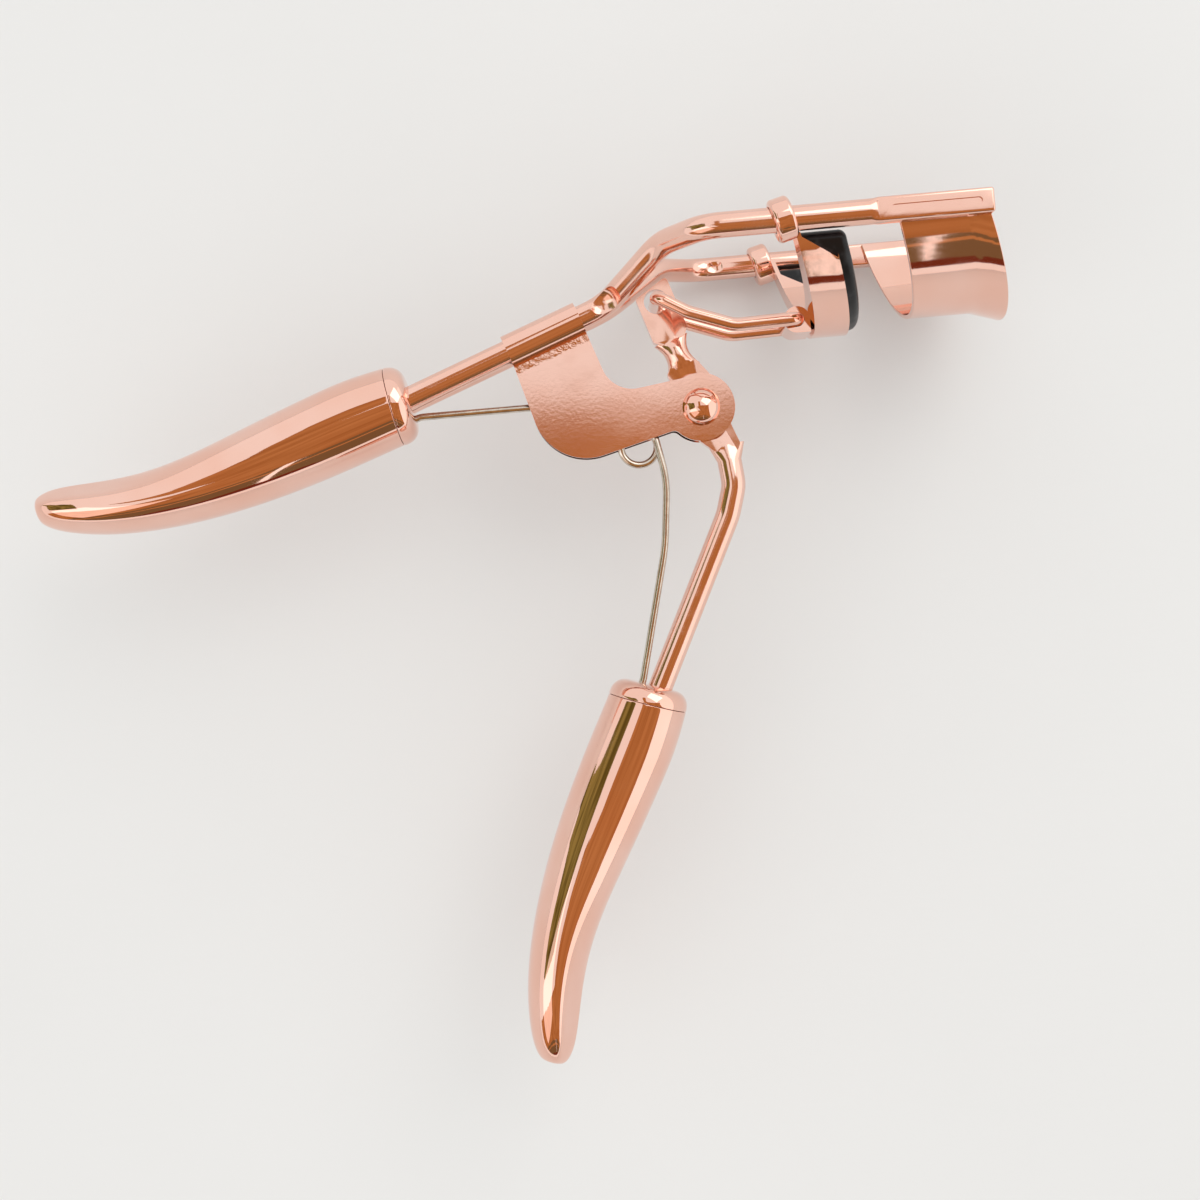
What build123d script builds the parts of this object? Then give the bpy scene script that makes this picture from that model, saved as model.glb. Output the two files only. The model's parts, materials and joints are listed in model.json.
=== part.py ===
from build123d import *
from math import cos, radians, sin, tan
import os

# An eyelash curler, lying flat: the mechanism moves in the XY plane, the two rails run
# along +X and +Z is up. Every size below is in millimetres and measured from the pivot
# rivet, in the plane half way up the curler. The finished pieces are then moved together
# so that the origin is at the bottom centre of the whole curler.

# ---------------------------------------------------------------- driving dimensions
WIRE = 2.7                # the round wire of the frame and of the lever
WIRE_GAP = 0.04           # air between the two frame wires where they lie side by side
SHEET = 0.5               # sheet metal of the bracket, the jaw and the holder
FIT = 0.03                # air between pieces that are fixed together
SLIDE_FIT = 0.08          # radial air between a rail and the collar that slides on it
PIN_FIT = 0.05            # radial air round a turning pin
PLATE_FIT = 0.15          # air between the lever's flat and each cheek of the bracket

WIRE_SLOPE = 20.3         # slope of the frame wires through the bracket, degrees
WIRE_BEND = (-9.6, 12.0)  # the two wires part company here
WIRE_BEND_ROUND = 5.0
SHOULDER_X = -3.2         # the wires level out here, a little below the rails
SHOULDER_DROP = 0.4
SHOULDER_IN = 5.55        # and are this much closer together than the rails
SHOULDER_ROUND = 8.0
PRESS_MARK = 2.2          # radius of the ball that left a dent on the bent wires
PRESS_MARK_DEPTH = 0.28
PRESS_MARK_BACK = 0.4     # from the bend to the dent on the upper wire
PRESS_MARK_X = 3.9        # the dent on the lower wire

RAIL_SPACING = 28.5       # between the centre lines of the two rails
RAIL_Y = 17.5             # height of the rails above the pivot
RAIL_START = 1.2
RAIL_START_ROUND = 4.0
RAIL_TIP = 0.3            # how far the rails run on beyond the upper jaw
FLAT_LEAD = 3.0           # the rails are pressed flat from this far before the jaw
FLAT_HEIGHT = 2.6         # width of the flat across the rail
FLAT_THICK = 2.2          # thickness of the pressed end
FLAT_OUT = 0.15           # how much lower the flat's outer face lies than the wire
FLAT_BLEND = 0.9          # length over which the round wire turns into the flat
FLAT_CORNER = 0.35
FLAT_TIP_ROUND = 0.3
GROOVE = 0.7              # width of the groove pressed along the flat
GROOVE_DEPTH = 0.25
GROOVE_END = 1.3          # length of plain flat at each end of the groove

JAW_TILT = 14.5           # lean of both jaws, degrees: the bottom is further along X
JAW_EDGE_X = 21.5         # pressing edge of the upper jaw at rail height
JAW_DEPTH = 9.6           # how far the jaw curve drops below the rails
JAW_LENGTH = 9.6          # from the pressing edge to the rear edge
LIP_LENGTH = 2.6          # the part of that length which flares outwards
LIP_FLARE = 1.2
LIP_TILT = 2.0            # extra lean of the rear edge
JAW_FLANGE = 1.1          # straight tabs that are welded to the rails

JAW_OPEN_GAP = 5.9        # from the pad to the pressing edge, jaws open
CHANNEL_WIDTH = 3.0       # across the pad channel, outside to outside
CHANNEL_DEPTH = 3.8       # depth of the channel along the rails
CHANNEL_CLEAR = 0.55      # from a rail down to the ends of the channel's walls
END_SLANT = 2.3           # how much the channel's walls are cut back at their ends
PAD_PROUD = 1.52          # how far the pad stands out of its channel
PAD_ROUND = 0.8
PAD_ROUND_SHARE = 0.85    # the most of the pad's half width that may be rounded
PAD_END_DROP = 1.2        # from the rails' centre line down to the ends of the pad
COLLAR_WALL = 0.9         # the curled collars that slide on the rails
COLLAR_LENGTH = 2.2
COLLAR_ROUND = 0.45
LUG_WALL = 0.65           # the lug that holds the link, at the back of the channel
LUG_LENGTH = 6.4
LUG_RISE = 0.54           # from the bottom of the jaw curve up to the lug's axis

PIN_AT = (-3.91, 12.09)   # centre of the lever's eye
EYE_RADIUS = 1.35         # the loose hole in the lever that the link hooks through
LINK_WIRE = 1.5
LINK_SIDE_GAP = 0.25      # between the lug and each leg of the link
LINK_INSERT = 2.2         # how far each end of the link reaches into the lug
LINK_LOW_BEND = (-6.9, -0.14)     # bends of the link's legs, from the lug
LINK_HIGH_BEND = (3.19, -1.93)    # and from the eye
LINK_END_ROUND = 1.0
LINK_LEG_ROUND = 4.0

LEVER_FLAT = 1.8          # thickness of the forged flats
EYE_PLATE = [(-6.17, 12.5), (-2.6, 14.8), (-0.75, 9.2), (-1.0, 8.2), (-3.7, 7.1), (-4.6, 7.6)]
PIVOT_PLATE = [(-3.4, 3.9), (-2.9, 4.9), (-0.1, 5.4), (1.25, 3.7), (3.3, -2.5), (4.0, -4.3),
               (3.6, -5.2), (1.1, -5.0), (-0.8, -3.4)]
PLATE_CORNER = 0.4        # rounding of the forged plates' corners
NECK_AT = (-2.04, 6.1)    # the wire stays round between the two plates
NECK_SLOPE = -70.9
NECK_RUN = 1.8            # length over which the round neck spreads into a plate
NECK_SPREAD = 2.0         # half the width that it spreads to
SHANK_TOP = (2.5, -4.3)   # the round lever wire from the pivot plate to its grip
SHANK_ELBOW = (2.95, -8.85)
SHANK_ELBOW_ROUND = 4.0
LEVER_BEND = (1.98, -12.1)
LEVER_BEND_ROUND = 8.0
LEVER_SLOPE = -116.54     # direction of the wire from its bend to the grip, degrees
LEVER_REACH = 20.6        # from the bend to the mouth of the grip

CHEEK_HEEL = (-16.8, -5.8)        # corners of the bracket's cheeks before rounding
HEEL_ROUND = 6.0
CHEEK_THROAT = (-9.5, 2.3)
THROAT_ROUND = 3.5
ARM_UNDER = (-2.4, -2.15)         # where the arm runs into the round boss
ARM_OVER = (-1.2, 3.4)
BOSS_RADIUS = 3.75
BOSS_BLEND = 0.8
BARREL_LENGTH = 8.8
BARREL_BACK = 3.1         # from the end of the barrel to the wires' bend
RIVET = 2.0               # shank of the rivet
RIVET_HEAD = 4.25
RIVET_HEAD_HEIGHT = 1.4

SPRING_WIRE = 0.8
COIL_RADIUS = 2.0
COIL_AT = (-7.19, -3.7)
COIL_START = 74           # where the coil begins, degrees round its centre
COIL_TURN = 427
COIL_GAP = 0.05           # air between one turn and the next
KNEE_IN = (-17.6, 1.75)   # bends of the spring's two legs
KNEE_IN_ROUND = 12.0
KNEE_OUT = (-4.45, -7.6)
KNEE_OUT_ROUND = 14.0
SHIN_OUT = (-5.3, -15.0)
SHIN_OUT_ROUND = 24.0
SPRING_GAP = 0.3          # air between the spring and the wire beside it in a grip
SPRING_DEPTH = 4.6        # how far the spring reaches into a grip
SPRING_SPLAY = 0.6
SPRING_END_ROUND = 2.5
SPRING_ROOM = 0.15        # radial air round the spring in its hole

MOUTH_BACK = 23.86        # from the frame wires' bend to the mouth of their grip
FRAME_GRIP_TURN = 190.4   # direction from the mouth to the tip, degrees
FRAME_GRIP_SHIFT = 0.23   # how far the wire lies off the middle of the mouth
LEVER_GRIP_TURN = -109.0
LEVER_GRIP_SHIFT = 0.98
WIRE_INSERT = 14.0        # length of wire held inside a grip
CAP_HEIGHT = 8.85         # rounded cap that closes the mouth of a grip
CAP_WIDTH = 10.5
CAP_ROUND = 1.7
GRIP_START = 2.05         # the grip itself begins here, measured from the mouth
# Cross sections of a grip: distance from the mouth, outer reach, inner reach, half width.
GRIP_STATIONS = [
    (GRIP_START, CAP_HEIGHT / 2, CAP_HEIGHT / 2, CAP_WIDTH / 2),
    (6.5, 4.35, 5.10, 5.30),
    (11.0, 3.60, 5.75, 5.35),
    (16.0, 2.70, 6.30, 5.35),
    (21.0, 1.70, 6.60, 5.30),
    (26.0, 0.75, 6.60, 5.15),
    (31.0, 0.35, 6.25, 4.95),
    (35.5, 0.70, 5.50, 4.60),
    (39.0, 1.20, 4.45, 4.05),
    (41.5, 1.35, 3.40, 3.15),
    (43.0, 0.90, 2.30, 1.80),
]

# ---------------------------------------------------------------- sizes that follow
wire_r = WIRE / 2
wire_z = wire_r + WIRE_GAP / 2
rail_z = RAIL_SPACING / 2
flat_start = JAW_EDGE_X - FLAT_LEAD
flat_x = flat_start + FLAT_BLEND
flat_length = JAW_EDGE_X + JAW_LENGTH + RAIL_TIP - flat_x
flat_outer = rail_z + wire_r - FLAT_OUT
flat_inner = flat_outer - FLAT_THICK
lean = tan(radians(JAW_TILT))
slant = cos(radians(JAW_TILT))
jaw_drop = JAW_DEPTH / slant
jaw_radius = (flat_inner**2 + jaw_drop**2) / (2 * jaw_drop)
jaw_centre = jaw_drop - jaw_radius
channel_x = JAW_EDGE_X - JAW_OPEN_GAP - PAD_PROUD - CHANNEL_DEPTH
channel_mid = jaw_radius - SHEET / 2
channel_top = wire_r + CHANNEL_CLEAR
pin_r = LINK_WIRE / 2
lug_radius = pin_r + PIN_FIT + LUG_WALL
lug_stand_off = lug_radius - FIT
lug_y = RAIL_Y - JAW_DEPTH + LUG_RISE
lug_x = channel_x + (RAIL_Y - lug_y) * lean - lug_stand_off
spring_r = SPRING_WIRE / 2
coil_pitch = SPRING_WIRE + COIL_GAP
coil_rise = coil_pitch * COIL_TURN / 360
cheek_inner = max(LEVER_FLAT / 2 + PLATE_FIT, (coil_rise + SPRING_WIRE) / 2 + FIT)
cheek_outer = cheek_inner + SHEET


def along(start, degrees_round, distance, height=0.0):
    """The point a distance away from start in the given direction."""
    turn = radians(degrees_round)
    return (start[0] + distance * cos(turn), start[1] + distance * sin(turn), height)


def jaw_plane(x, tilt=JAW_TILT):
    """A plane leaning like the jaws: local X runs across the curler, local Y runs down."""
    return Plane(origin=(x, RAIL_Y, 0), x_dir=(0, 0, 1), z_dir=along((0, 0), tilt, 1))


def grip_plane(mouth, turn, side, distance):
    """A plane across a grip: local X points outwards and local Y across the curler."""
    return Plane(origin=along(mouth, turn, distance), x_dir=along((0, 0), turn + 90 * side, 1),
                 z_dir=along((0, 0), turn, 1))


pieces = []

# ---------------------------------------------------------------- frame
# Two wires lie side by side from the frame grip through the bracket, then spread apart,
# climb and run on as the two parallel rails.
wire_start = along(WIRE_BEND, WIRE_SLOPE, -MOUTH_BACK - WIRE_INSERT)
upper_mark = along(WIRE_BEND, WIRE_SLOPE, -PRESS_MARK_BACK, wire_z)
lower_mark = (PRESS_MARK_X, RAIL_Y, -rail_z)
for label, side, mark in (("frame_wire_upper", 1, upper_mark), ("frame_wire_lower", -1, lower_mark)):
    with BuildPart() as frame_wire:
        with BuildLine() as run:
            FilletPolyline(
                (wire_start[0], wire_start[1], side * wire_z),
                (*WIRE_BEND, side * wire_z),
                (SHOULDER_X, RAIL_Y - SHOULDER_DROP, side * (rail_z - SHOULDER_IN)),
                (RAIL_START, RAIL_Y, side * rail_z),
                (flat_start, RAIL_Y, side * rail_z),
                radius=[WIRE_BEND_ROUND, SHOULDER_ROUND, RAIL_START_ROUND],
            )
        with BuildSketch(Plane(origin=run.line @ 0, z_dir=run.line % 0)):
            Circle(wire_r)
        sweep()
        # The pressed end grows out of the round wire.
        with BuildSketch(Plane(origin=(flat_start, RAIL_Y, side * rail_z),
                               x_dir=(0, 1, 0), z_dir=(1, 0, 0))):
            Circle(wire_r)
        with BuildSketch(Plane(origin=(flat_x, RAIL_Y, side * (flat_inner + flat_outer) / 2),
                               x_dir=(0, 1, 0), z_dir=(1, 0, 0))) as flat_section:
            RectangleRounded(FLAT_HEIGHT, FLAT_THICK, FLAT_CORNER)
        loft()
        extrude(flat_section.sketch, amount=flat_length)
        fillet(frame_wire.faces().sort_by(Axis.X)[-1].edges(), radius=FLAT_TIP_ROUND)
        # A groove is pressed along the outer face of the flat.
        with BuildSketch(Plane(origin=(flat_x, RAIL_Y, side * flat_outer),
                               x_dir=(1, 0, 0), z_dir=(0, 0, side))):
            with Locations((flat_length / 2, 0)):
                SlotOverall(flat_length - 2 * GROOVE_END, GROOVE)
        extrude(amount=-GROOVE_DEPTH, mode=Mode.SUBTRACT)
        # Bending the wire left a shallow dent on its upper side.
        with Locations((mark[0], mark[1], mark[2] + wire_r + PRESS_MARK - PRESS_MARK_DEPTH)):
            Sphere(PRESS_MARK, mode=Mode.SUBTRACT)
    frame_wire.part.label = label
    pieces.append(frame_wire)


# The upper jaw is a thin plate curved like an eyelid. Its ends are tabs on the inner
# faces of the rails, and its rear edge flares outwards.
def jaw_section(x, tilt, drop):
    """The plate cut across at a leaning plane, with drop as its depth there."""
    inner = flat_inner - SHEET
    with BuildSketch(jaw_plane(x, tilt)) as section:
        with BuildLine():
            Polyline((-flat_inner, 0), (-flat_inner, -JAW_FLANGE), (-inner, -JAW_FLANGE),
                     (-inner, 0))
            ThreePointArc((-inner, 0), (0, drop - SHEET), (inner, 0))
            Polyline((inner, 0), (inner, -JAW_FLANGE), (flat_inner, -JAW_FLANGE),
                     (flat_inner, 0))
            ThreePointArc((flat_inner, 0), (0, drop), (-flat_inner, 0))
        make_face()
    return section.sketch


press_section = jaw_section(JAW_EDGE_X, JAW_TILT, jaw_drop)
lip_start = jaw_section(JAW_EDGE_X + JAW_LENGTH - LIP_LENGTH, JAW_TILT, jaw_drop)
lip_end = jaw_section(JAW_EDGE_X + JAW_LENGTH, JAW_TILT + LIP_TILT, jaw_drop + LIP_FLARE)
with BuildPart() as upper_jaw:
    loft(sections=[press_section, lip_start], ruled=True)
    loft(sections=[lip_start, lip_end], ruled=True)
upper_jaw.part.label = "upper_jaw"
pieces.append(upper_jaw)

# The bracket is one folded sheet: a flattened barrel round both wires, and below it two
# cheeks that carry the pivot.
barrel_start = along(WIRE_BEND, WIRE_SLOPE, -BARREL_BACK - BARREL_LENGTH)
barrel_far = along(WIRE_BEND, WIRE_SLOPE, -BARREL_BACK)
barrel_inner = wire_r + FIT
barrel_outer = barrel_inner + SHEET
cheek_near_top = along(barrel_start, WIRE_SLOPE - 90, barrel_inner + SHEET / 2)[:2]
cheek_far_top = along(barrel_far, WIRE_SLOPE - 90, barrel_inner + SHEET / 2)[:2]
with BuildPart() as bracket:
    with BuildSketch(Plane(origin=barrel_start, x_dir=(0, 0, 1),
                           z_dir=along((0, 0), WIRE_SLOPE, 1))):
        SlotCenterToCenter(2 * wire_z, 2 * barrel_outer)
        SlotCenterToCenter(2 * wire_z, 2 * barrel_inner, mode=Mode.SUBTRACT)
    extrude(amount=BARREL_LENGTH)
    for side in (1, -1):
        with BuildSketch(Plane.XY.offset(side * (cheek_inner + SHEET / 2))) as cheek:
            with BuildLine() as arm:
                FilletPolyline(cheek_near_top, CHEEK_HEEL, ARM_UNDER, radius=[HEEL_ROUND])
                Line(arm.line @ 1, ARM_OVER)
                FilletPolyline(ARM_OVER, CHEEK_THROAT, cheek_far_top, radius=[THROAT_ROUND])
                Line(cheek_far_top, cheek_near_top)
            make_face()
            Circle(BOSS_RADIUS)
            fillet(cheek.vertices().filter_by(lambda corner: corner.X > -BOSS_RADIUS
                                              and corner.Y < BOSS_RADIUS), radius=BOSS_BLEND)
            Circle(RIVET / 2 + FIT, mode=Mode.SUBTRACT)
        extrude(amount=SHEET / 2, both=True)
bracket.part.label = "bracket"
pieces.append(bracket)

# The rivet has a domed head on each side of the bracket.
head_base = cheek_outer + FIT
dome_radius = ((RIVET_HEAD / 2)**2 + RIVET_HEAD_HEIGHT**2) / (2 * RIVET_HEAD_HEIGHT)
with BuildPart() as pivot_rivet:
    with BuildSketch(Plane.XY):
        Circle(RIVET / 2)
    extrude(amount=head_base, both=True)
    for side in (1, -1):
        with BuildSketch(Plane.XZ):
            with BuildLine():
                dome = RadiusArc((RIVET_HEAD / 2, side * head_base),
                                 (0, side * (head_base + RIVET_HEAD_HEIGHT)),
                                 -side * dome_radius)
                Polyline(dome @ 1, (0, side * head_base), dome @ 0)
            make_face()
        revolve(axis=Axis.Z)
pivot_rivet.part.label = "pivot_rivet"
pieces.append(pivot_rivet)

# ---------------------------------------------------------------- lever
# The lever is one wire, forged flat in two places: an eye at the top for the link, and a
# plate round the pivot. Below the pivot it runs on as a round wire into its grip.
lever_mouth_wire = along(LEVER_BEND, LEVER_SLOPE, LEVER_REACH)
lever_end = along(lever_mouth_wire, LEVER_SLOPE, WIRE_INSERT)
shank_way = Vector(*SHANK_ELBOW) - Vector(*SHANK_TOP)
shank_start = Vector(*SHANK_TOP) + shank_way.normalized() * NECK_RUN
with BuildPart() as lever_wire:
    with BuildLine() as shank:
        FilletPolyline(shank_start, (*SHANK_ELBOW, 0), (*LEVER_BEND, 0), lever_end,
                       radius=[SHANK_ELBOW_ROUND, LEVER_BEND_ROUND])
    with BuildSketch(Plane(origin=shank.line @ 0, z_dir=shank.line % 0)):
        Circle(wire_r)
    sweep()
    # The wire spreads from round to flat on each side of the neck and above the shank.
    for middle, way, reaches in (
        (NECK_AT, NECK_SLOPE, ((-NECK_RUN, NECK_SPREAD), (0, wire_r), (NECK_RUN, NECK_SPREAD))),
        (SHANK_TOP, shank_way.get_signed_angle(Vector(1, 0, 0), Vector(0, 0, -1)),
         ((0, NECK_SPREAD), (NECK_RUN, wire_r))),
    ):
        for distance, half_width in reaches:
            with BuildSketch(Plane(origin=along(middle, way, distance),
                                   x_dir=along((0, 0), way + 90, 1),
                                   z_dir=along((0, 0), way, 1))):
                Ellipse(half_width, wire_r if half_width == wire_r else LEVER_FLAT / 2)
        loft()
    for outline in (EYE_PLATE, PIVOT_PLATE):
        with BuildSketch(Plane.XY) as plate:
            with BuildLine():
                Polyline(*outline, close=True)
            make_face()
            fillet(plate.vertices(), radius=PLATE_CORNER)
        extrude(amount=LEVER_FLAT / 2, both=True)
    with BuildSketch(Plane.XY):
        Circle(RIVET / 2 + PIN_FIT)
        with Locations(PIN_AT):
            Circle(EYE_RADIUS)
    extrude(amount=WIRE, both=True, mode=Mode.SUBTRACT)
lever_wire.part.label = "lever_wire"
pieces.append(lever_wire)

# ---------------------------------------------------------------- spring
# One spring wire: a leg out of the frame grip, a coil between the cheeks, and a leg into
# the lever grip. In each grip it lies beside the wire, and its end turns away.
frame_mouth_wire = along(WIRE_BEND, WIRE_SLOPE, -MOUTH_BACK)
spring_beside = wire_r + spring_r + SPRING_GAP
frame_deep = along(WIRE_BEND, WIRE_SLOPE, -MOUTH_BACK - SPRING_DEPTH)
lever_deep = along(lever_mouth_wire, LEVER_SLOPE, SPRING_DEPTH)
spring_in_mouth = along(frame_mouth_wire, WIRE_SLOPE - 90, spring_beside, -coil_rise / 2)
spring_in_end = along(frame_deep, WIRE_SLOPE - 90, spring_beside + SPRING_SPLAY, -coil_rise / 2)
spring_out_mouth = along(lever_mouth_wire, LEVER_SLOPE - 90, spring_beside, coil_rise / 2)
spring_out_end = along(lever_deep, LEVER_SLOPE - 90, spring_beside + SPRING_SPLAY, coil_rise / 2)
with BuildPart() as spring:
    with BuildLine() as leg_in:
        FilletPolyline(spring_in_end, spring_in_mouth, (*KNEE_IN, -coil_rise / 2),
                       along(COIL_AT, COIL_START, COIL_RADIUS, -coil_rise / 2),
                       radius=[SPRING_END_ROUND, KNEE_IN_ROUND])
    with BuildSketch(Plane(origin=leg_in.line @ 0, z_dir=leg_in.line % 0)):
        Circle(spring_r)
    sweep()
    with BuildLine(Plane(origin=(*COIL_AT, -coil_rise / 2),
                         x_dir=along((0, 0), COIL_START, 1), z_dir=(0, 0, 1))) as coil:
        Helix(pitch=coil_pitch, height=coil_rise, radius=COIL_RADIUS, lefthand=True)
    with BuildSketch(Plane(origin=coil.line @ 0, z_dir=coil.line % 0)):
        Circle(spring_r)
    sweep(is_frenet=True)
    with BuildLine() as leg_out:
        FilletPolyline(along(COIL_AT, COIL_START - COIL_TURN, COIL_RADIUS, coil_rise / 2),
                       (*KNEE_OUT, coil_rise / 2), (*SHIN_OUT, coil_rise / 2),
                       spring_out_mouth, spring_out_end,
                       radius=[KNEE_OUT_ROUND, SHIN_OUT_ROUND, SPRING_END_ROUND])
    with BuildSketch(Plane(origin=leg_out.line @ 0, z_dir=leg_out.line % 0)):
        Circle(spring_r)
    sweep()
spring.part.label = "spring"
pieces.append(spring)

# ---------------------------------------------------------------- grips
# Both grips are the same S-curved handle, one turned over, and each has a rounded cap at
# its mouth. The wires and the spring run through the caps.
frame_mouth = along(frame_mouth_wire, WIRE_SLOPE - 90, FRAME_GRIP_SHIFT)
lever_mouth = along(lever_mouth_wire, LEVER_SLOPE - 90, LEVER_GRIP_SHIFT)
wire_holes = Plane(origin=along(wire_start, WIRE_SLOPE, -FIT), x_dir=(0, 0, 1),
                   z_dir=along((0, 0), WIRE_SLOPE, 1))
shank_hole = Plane(origin=along(lever_end, LEVER_SLOPE, FIT), x_dir=(0, 0, 1),
                   z_dir=along((0, 0), LEVER_SLOPE + 180, 1))
hole_length = WIRE_INSERT + CAP_HEIGHT
grips = (
    ("frame_grip", frame_mouth, FRAME_GRIP_TURN, -1, wire_holes, [(-wire_z, 0), (wire_z, 0)],
     spring_in_mouth, spring_in_end),
    ("lever_grip", lever_mouth, LEVER_GRIP_TURN, 1, shank_hole, [(0, 0)],
     spring_out_mouth, spring_out_end),
)
for label, mouth, turn, side, hole_plane, hole_places, spring_from, spring_to in grips:
    spring_way = Vector(*spring_to) - Vector(*spring_from)
    spring_hole = Plane(origin=Vector(*spring_from) - spring_way / 2, z_dir=spring_way)
    with BuildPart() as grip:
        for distance, outer, inner, half_width in GRIP_STATIONS:
            with BuildSketch(grip_plane(mouth, turn, side, distance)):
                with Locations(((outer - inner) / 2, 0)):
                    Ellipse((outer + inner) / 2, half_width)
        loft()
    grip.part.label = label
    with BuildPart() as cap:
        with BuildSketch(grip_plane(mouth, turn, side, 0)):
            Ellipse(CAP_HEIGHT / 2, CAP_WIDTH / 2)
        extrude(amount=GRIP_START - FIT)
        fillet(cap.edges().group_by(SortBy.DISTANCE)[0], radius=CAP_ROUND)
    cap.part.label = label + "_cap"
    for piece in (grip, cap):
        name = piece.part.label
        with piece:
            with BuildSketch(hole_plane) as holes:
                with Locations(*hole_places):
                    Circle(wire_r + FIT)
            extrude(holes.sketch, amount=hole_length, mode=Mode.SUBTRACT)
            with BuildSketch(spring_hole) as narrow_hole:
                Circle(spring_r + SPRING_ROOM)
            extrude(narrow_hole.sketch, amount=spring_way.length * 3 / 2 + SPRING_ROOM,
                    mode=Mode.SUBTRACT)
        piece.part.label = name
        pieces.append(piece)

# ---------------------------------------------------------------- lower jaw
# The holder is a curved channel of sheet, open towards the upper jaw. Its ends are curled
# into collars that slide on the rails, and its back carries a lug for the link.
outside = RAIL_SPACING
bore = wire_r + SLIDE_FIT
collar_radius = bore + COLLAR_WALL
collar_way = along((0, 0), JAW_TILT, 1)
with BuildPart() as lower_jaw:
    for side in (-1, 1):
        collar_at = (channel_x + (SHEET - COLLAR_LENGTH) / 2, RAIL_Y, side * rail_z)
        with BuildSketch(Plane(origin=collar_at, x_dir=collar_way,
                               z_dir=along((0, 0), JAW_TILT - 90, 1))):
            with Locations((0, collar_radius / 2 + COLLAR_ROUND / 2)):
                RectangleRounded(COLLAR_LENGTH, collar_radius - COLLAR_ROUND, COLLAR_ROUND)
        revolve(axis=Axis(collar_at, collar_way))
    with BuildSketch(jaw_plane(channel_x)):
        with Locations((0, jaw_centre)):
            Circle(channel_mid + CHANNEL_WIDTH / 2)
            Circle(channel_mid - CHANNEL_WIDTH / 2, mode=Mode.SUBTRACT)
        with Locations((0, outside / 2)):
            Rectangle(2 * outside, outside, mode=Mode.INTERSECT)
    extrude(amount=SHEET, dir=(1, 0, 0))
    with BuildSketch(jaw_plane(channel_x)):
        with Locations((0, jaw_centre)):
            Circle(channel_mid + CHANNEL_WIDTH / 2)
            Circle(channel_mid + CHANNEL_WIDTH / 2 - SHEET, mode=Mode.SUBTRACT)
            Circle(channel_mid - CHANNEL_WIDTH / 2 + SHEET)
            Circle(channel_mid - CHANNEL_WIDTH / 2, mode=Mode.SUBTRACT)
        with Locations((0, channel_top / slant + outside / 2)):
            Rectangle(2 * outside, outside, mode=Mode.INTERSECT)
    extrude(amount=CHANNEL_DEPTH, dir=(1, 0, 0))
    # The walls are cut back on a slant at both ends, below the rails.
    wall_x = channel_x + SHEET + channel_top * lean
    wall_y = RAIL_Y - channel_top
    with BuildSketch(Plane.XY):
        with BuildLine():
            Polyline((wall_x, RAIL_Y), (wall_x, wall_y),
                     (wall_x + CHANNEL_DEPTH, wall_y - END_SLANT),
                     (wall_x + CHANNEL_DEPTH, RAIL_Y), close=True)
        make_face()
    extrude(amount=rail_z, both=True, mode=Mode.SUBTRACT)
    with BuildSketch(Plane.XY):
        with Locations((lug_x, lug_y)):
            Circle(lug_radius)
        with Locations((lug_x + lug_stand_off / 2, lug_y - lug_radius / 2)):
            Rectangle(lug_stand_off, lug_radius)
    extrude(amount=LUG_LENGTH / 2, both=True)
    with BuildSketch(Plane.XY):
        with Locations((lug_x, lug_y)):
            Circle(pin_r + PIN_FIT)
    extrude(amount=LUG_LENGTH, both=True, mode=Mode.SUBTRACT)
    with BuildSketch(Plane.YZ):
        with Locations((RAIL_Y, -rail_z), (RAIL_Y, rail_z)):
            Circle(bore)
    extrude(amount=flat_start, mode=Mode.SUBTRACT)
lower_jaw.part.label = "lower_jaw"
pieces.append(lower_jaw)

# A soft pad fills the channel and stands a little out of it.
pad_half = CHANNEL_WIDTH / 2 - SHEET - FIT
pad_drop = PAD_END_DROP / slant + pad_half
pad_end = ((channel_mid**2 - (pad_drop - jaw_centre)**2)**0.5, pad_drop)
with BuildPart() as lash_pad:
    with BuildSketch(jaw_plane(channel_x + SHEET + FIT)):
        with BuildLine(mode=Mode.PRIVATE) as pad_curve:
            ThreePointArc((-pad_end[0], pad_drop), (0, jaw_centre + channel_mid), pad_end)
        SlotArc(pad_curve.edge(), 2 * pad_half)
    extrude(amount=CHANNEL_DEPTH + PAD_PROUD - SHEET - FIT, dir=(1, 0, 0))
    fillet(lash_pad.faces().sort_by(Axis.X)[-1].edges(),
           radius=min(PAD_ROUND, PAD_ROUND_SHARE * pad_half))
lash_pad.part.label = "lash_pad"
pieces.append(lash_pad)

# ---------------------------------------------------------------- link
# A wire loop joins the lever's eye to the lug of the lower jaw. Its two ends are turned
# in and sit in the lug.
link_z = LUG_LENGTH / 2 + LINK_SIDE_GAP + pin_r
inner_end = LUG_LENGTH / 2 - LINK_INSERT
low_bend = (lug_x + LINK_LOW_BEND[0], lug_y + LINK_LOW_BEND[1])
high_bend = (PIN_AT[0] + LINK_HIGH_BEND[0], PIN_AT[1] + LINK_HIGH_BEND[1])
leg_rounds = [LINK_END_ROUND, LINK_LEG_ROUND, LINK_LEG_ROUND, LINK_END_ROUND]
with BuildPart() as link:
    with BuildLine() as loop:
        FilletPolyline(
            (lug_x, lug_y, inner_end), (lug_x, lug_y, link_z), (*low_bend, link_z),
            (*high_bend, link_z), (*PIN_AT, link_z), (*PIN_AT, -link_z),
            (*high_bend, -link_z), (*low_bend, -link_z), (lug_x, lug_y, -link_z),
            (lug_x, lug_y, -inner_end), radius=leg_rounds + leg_rounds,
        )
    with BuildSketch(Plane(origin=loop.line @ 0, z_dir=loop.line % 0)):
        Circle(pin_r)
    sweep()
link.part.label = "link"
pieces.append(link)

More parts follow.
